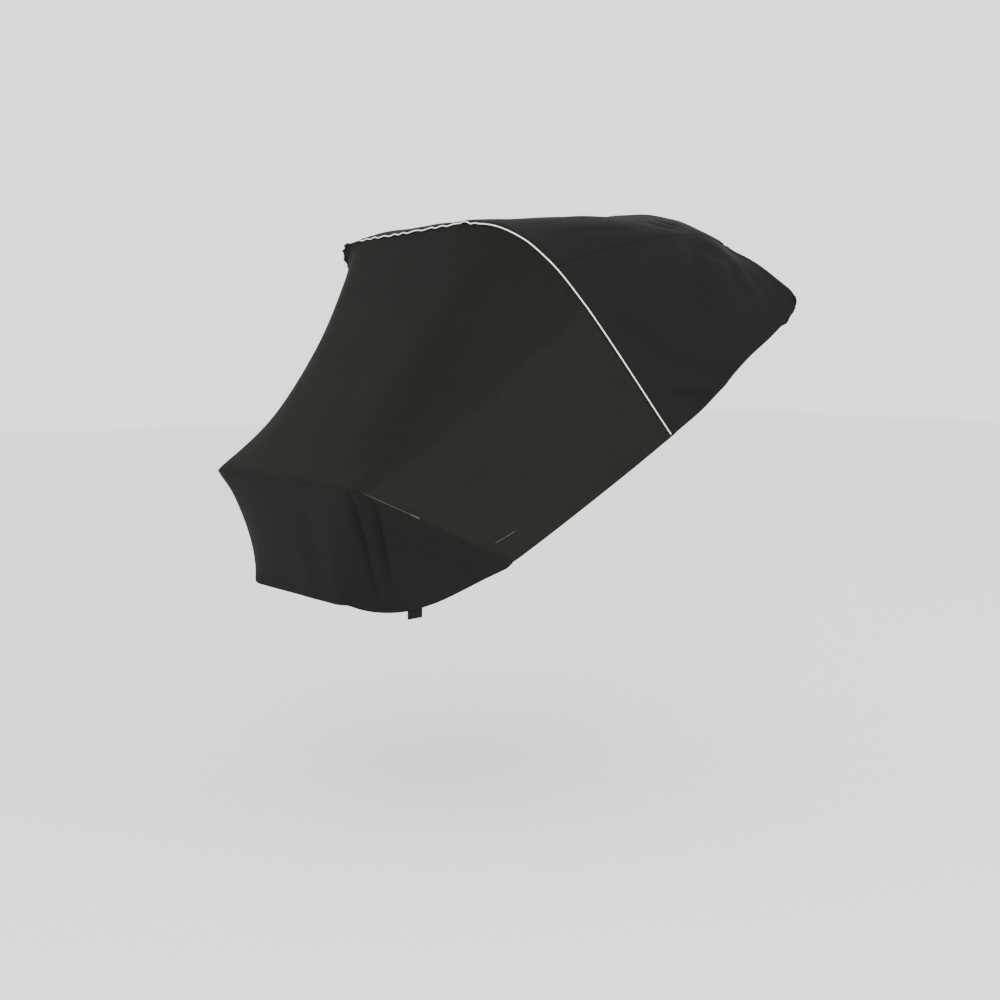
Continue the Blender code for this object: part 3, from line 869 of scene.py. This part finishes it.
def paintedRidgeHighlightPiece():
    line, out = rowAt(grids["net"], paintedRidgeHighlight["fromSeam"], "first")
    share = lineReach(line) / lineReach(line)[-1]
    run = np.nonzero((share >= paintedRidgeHighlight["fromShare"]) & (share <= paintedRidgeHighlight["toShare"]))[0]
    # the first few points, swept thicker, make the painted glint
    paintedGlint = run[:paintedRidgeHighlight["glintPoints"]]
    sizes = {"Sides": paintedRidgeHighlight["sides"], "Finish": paleThreadAndPaintedHighlight}
    parts = [grown("run", line[run], out[run], cordGroup, {**sizes, "Radius": paintedRidgeHighlight["radius"]}),
             grown("paintedGlint", line[paintedGlint], out[paintedGlint], cordGroup, {**sizes, "Radius": paintedRidgeHighlight["glintRadius"]})]
    return joined("paintedRidgeHighlight", parts, paleThreadAndPaintedHighlight)


paintedRidgeHighlightCord = paintedRidgeHighlightPiece()

# The strap ends under the foot panel's hem.

strap = {"width": 0.025, "thickness": 0.0015, "hemShare": 0.186, "gap": 0.0011, "sewn": 0.016,
         "visible": 0.018, "lean": -0.004, "clothThickness": 0.0016,
         "rows": 16, "sewnRows": 12, "columns": 26, "rib": 0.00025, "ribCount": 9, "edgeDrop": 0.0003}


def strapGrid(hemShare):
    cage = cages["foot"]
    low, high = cage[0], cage[1]
    hemPoint, beside = linePoints(low, np.array((hemShare, hemShare + 0.01)) * lineReach(low)[-1])
    above = linePoints(high, [hemShare * lineReach(high)[-1]])[0]
    up, along = unit(above - hemPoint), unit(beside - hemPoint)
    out = unit(np.cross(up, along))
    behind = hemPoint - out * (strap["clothThickness"] + strap["gap"])
    hanging = out * strap["lean"] - np.array((0, 0, strap["visible"]))
    levels = np.concatenate([behind + hanging * np.linspace(1, 0, strap["rows"])[:, None],
                             behind + up * strap["sewn"] * np.linspace(0, 1, strap["sewnRows"])[1:, None]])
    across = np.linspace(-0.5, 0.5, strap["columns"])[:, None] * strap["width"] * along
    grid = levels[:, None] + across[None]
    edge = np.abs(np.linspace(-1, 1, strap["columns"]))
    turns = np.linspace(0, strap["ribCount"] * 2 * np.pi, strap["columns"])
    ribs = strap["rib"] * np.sin(turns) - strap["edgeDrop"] * edge ** 6
    return grid + out * ribs[None, :, None]


strapLeft = clothSheet("strapEndLeft", strapGrid(strap["hemShare"]), strap["thickness"], webbing)
strapRight = clothSheet("strapEndRight", strapGrid(1 - strap["hemShare"]), strap["thickness"], webbing)
print("trims made")

for piece, nodeName, slotName in (
        (netSheet, "net_panel", "net_cloth"), (footSheet, "foot_panel", "closed_cloth"),
        (topSheet, "canopy_top", "closed_cloth"), (leftSheet, "canopy_side_left", "closed_cloth"),
        (rightSheet, "canopy_side_right", "closed_cloth"), (pipingCord, "brim_piping", "piping_cloth"),
        (strapLeft, "strap_left", "webbing"), (strapRight, "strap_right", "webbing"),
        (pipingTape, None, "closed_cloth"), (tabPiece, None, "piping_cloth"),
        (paintedRidgeHighlightCord, None, "piping_cloth")):
    dress(piece, nodeName)
for piece in stitches.values():
    dress(piece, None)

for panel, piece, trims in (
        ("net", netSheet, [tabPiece, paintedRidgeHighlightCord]), ("foot", footSheet, []), ("top", topSheet, [pipingTape]),
        ("left", leftSheet, []), ("right", rightSheet, [])):
    flat, area = declareSheet(grids[panel])
    print(piece.name, "flat %.3f x %.3f m, %.3f square metres" % (*flat, area))

# The stage: a pale floor well below the net, soft light, and the camera.

stageLook = {"floorHeight": -1.078, "floorSize": 24.0, "worldStrength": 1.85,
             "floorLight": (0.90, 0.90, 0.90, 1), "floorDark": (0.86, 0.86, 0.86, 1)}
studioLights = {  # place, what it points at, width, power
    "key": ((2.4, -2.2, 1.7), (0, -0.2, -0.3), 1.8, 45.0),
    "rim": ((2.2, 1.6, 1.8), (0, 0.0, -0.2), 1.4, 28.0),
    "fill": ((2.6, -1.0, -0.9), (0.2, -0.4, -0.5), 1.4, 32.0),
}


def floorShader(tree):
    place = nodeOut(tree, "ShaderNodeTexCoord", None, (), 3)
    grain = nodeOut(tree, "ShaderNodeTexNoise", None, {"Vector": place, "Scale": 3.0})
    colour = mixColour(tree, grain * 0.2, stageLook["floorLight"], stageLook["floorDark"])
    return node(tree, "ShaderNodeBsdfPrincipled", None, {"Base Color": colour, "Roughness": 0.8})


bpy.ops.mesh.primitive_plane_add(size=stageLook["floorSize"], location=(0, 0, stageLook["floorHeight"]))
floor = bpy.context.object
floor.name = "floor"
floor.data.materials.append(newMaterial("floorPaint", floorShader))

world = bpy.data.worlds.new("studio")
world.use_nodes = True
world.node_tree.nodes["Background"].inputs["Color"].default_value = (1, 1, 1, 1)
world.node_tree.nodes["Background"].inputs["Strength"].default_value = stageLook["worldStrength"]
bpy.context.scene.world = world


def softLight(name, place, aim, size, power):
    data = bpy.data.lights.new(name, "AREA")
    data.shape, data.size, data.energy = "DISK", size, power
    lamp = bpy.data.objects.new(name, data)
    lamp.location = place
    back = unit(np.array(place) - np.array(aim))
    right = unit(np.cross((0, 0, 1), back))
    lamp.rotation_euler = Matrix(np.stack([right, np.cross(back, right), back], axis=1).tolist()).to_euler()
    bpy.context.scene.collection.objects.link(lamp)


for lightName, lightValues in studioLights.items():
    softLight(lightName, *lightValues)

cameraView = {"place": (2.4034, -1.9455, -0.2435), "azimuth": 54.285, "elevation": 5.775,
              "lens": 55.417, "sensor": 36.0}
cameraData = bpy.data.cameras.new("view")
cameraData.lens, cameraData.sensor_width = cameraView["lens"], cameraView["sensor"]
cameraData.sensor_fit = "HORIZONTAL"
camera = bpy.data.objects.new("view", cameraData)
camera.location = cameraView["place"]
camera.rotation_euler = (math.radians(90 - cameraView["elevation"]), 0, math.radians(cameraView["azimuth"]))
bpy.context.scene.collection.objects.link(camera)
bpy.context.scene.camera = camera
print("stage set")
